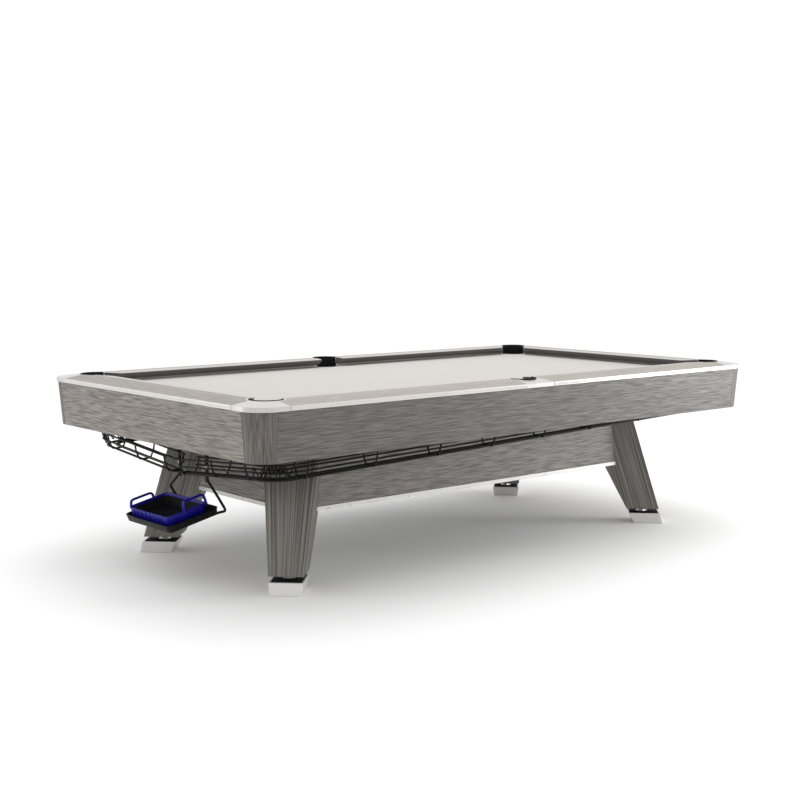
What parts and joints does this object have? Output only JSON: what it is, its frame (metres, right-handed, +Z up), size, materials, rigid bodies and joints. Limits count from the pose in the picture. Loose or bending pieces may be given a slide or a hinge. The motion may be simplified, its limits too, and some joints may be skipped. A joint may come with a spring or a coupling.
{
  "type": "pool table",
  "caption": "Slate-bed pool table with splayed diagonal legs, flared wood-grain cabinet, metal pocket castings, open wire ball return and a lift-out ball tray.",
  "frame": {"origin": "on the floor under the middle of the table", "axes": "+Z up; X along the table with the head end at +X and the ball tray at the foot end, -X; +Y toward the back side"},
  "size_m": [2.89, 1.62, 0.792],
  "materials": {
    "grey_wood": "satin laminate, grey wood grain running level",
    "upright_wood": "satin laminate, grey wood grain running upright",
    "bed_cloth": "napped warm grey billiard cloth",
    "cushion_cloth": "warm grey billiard cloth over rubber",
    "slate": "honed slate",
    "plywood": "raw plywood",
    "satin_metal": "satin cast metal",
    "black_rubber": "matt black moulded rubber",
    "black_wire": "black plastic-dipped steel wire",
    "black_plastic": "textured black plastic",
    "blue_plastic": "deep blue moulded plastic"
  },
  "bodies": {
    "table": {"apron_back": "grey_wood", "apron_foot": "grey_wood", "apron_front": "grey_wood", "apron_head": "grey_wood", "ball_track_back": "black_wire", "ball_track_front": "black_wire", "base_panel_back": "grey_wood", "base_panel_foot": "grey_wood", "base_panel_front": "grey_wood", "base_panel_head": "grey_wood", "bed_cloth": "bed_cloth", "corner_casting_foot_back": "satin_metal", "corner_casting_foot_front": "satin_metal", "corner_casting_head_back": "satin_metal", "corner_casting_head_front": "satin_metal", "corner_post_foot_back": "upright_wood", "corner_post_foot_front": "upright_wood", "corner_post_head_back": "upright_wood", "corner_post_head_front": "upright_wood", "cross_beam_1": "plywood", "cross_beam_2": "plywood", "cross_beam_3": "plywood", "cross_beam_4": "plywood", "cushion_back_foot": "cushion_cloth", "cushion_back_head": "cushion_cloth", "cushion_foot": "cushion_cloth", "cushion_front_foot": "cushion_cloth", "cushion_front_head": "cushion_cloth", "cushion_head": "cushion_cloth", "leg_foot_back": "upright_wood", "leg_foot_front": "upright_wood", "leg_head_back": "upright_wood", "leg_head_front": "upright_wood", "liner_tray": "black_plastic", "pocket_liner_foot_back": "black_rubber", "pocket_liner_foot_front": "black_rubber", "pocket_liner_head_back": "black_rubber", "pocket_liner_head_front": "black_rubber", "pocket_liner_side_back": "black_rubber", "pocket_liner_side_front": "black_rubber", "rail_back_foot": "grey_wood", "rail_back_head": "grey_wood", "rail_foot": "grey_wood", "rail_front_foot": "grey_wood", "rail_front_head": "grey_wood", "rail_head": "grey_wood", "side_casting_back": "satin_metal", "side_casting_front": "satin_metal", "slate_foot": "slate", "slate_head": "slate", "slate_middle": "slate", "tray_hanger_back": "black_wire", "tray_hanger_front": "black_wire"},
    "levelling_foot_foot_front": {"levelling_foot_foot_front": "satin_metal"},
    "levelling_foot_foot_back": {"levelling_foot_foot_back": "satin_metal"},
    "levelling_foot_head_front": {"levelling_foot_head_front": "satin_metal"},
    "levelling_foot_head_back": {"levelling_foot_head_back": "satin_metal"},
    "ball_tray": {"ball_tray": "blue_plastic"}
  },
  "joints": [
    {"name": "leveller_foot_front_travel", "type": "slide", "parent": "table", "child": "levelling_foot_foot_front", "axis": [0, 0, 1], "range_m": [-0.015, 0.012]},
    {"name": "leveller_foot_back_travel", "type": "slide", "parent": "table", "child": "levelling_foot_foot_back", "axis": [0, 0, 1], "range_m": [-0.015, 0.012]},
    {"name": "leveller_head_front_travel", "type": "slide", "parent": "table", "child": "levelling_foot_head_front", "axis": [0, 0, 1], "range_m": [-0.015, 0.012]},
    {"name": "leveller_head_back_travel", "type": "slide", "parent": "table", "child": "levelling_foot_head_back", "axis": [0, 0, 1], "range_m": [-0.015, 0.012]},
    {"name": "ball_tray_lift", "type": "slide", "parent": "table", "child": "ball_tray", "axis": [-0.2181, 0, 0.9759], "range_m": [0, 0.045]}
  ]
}
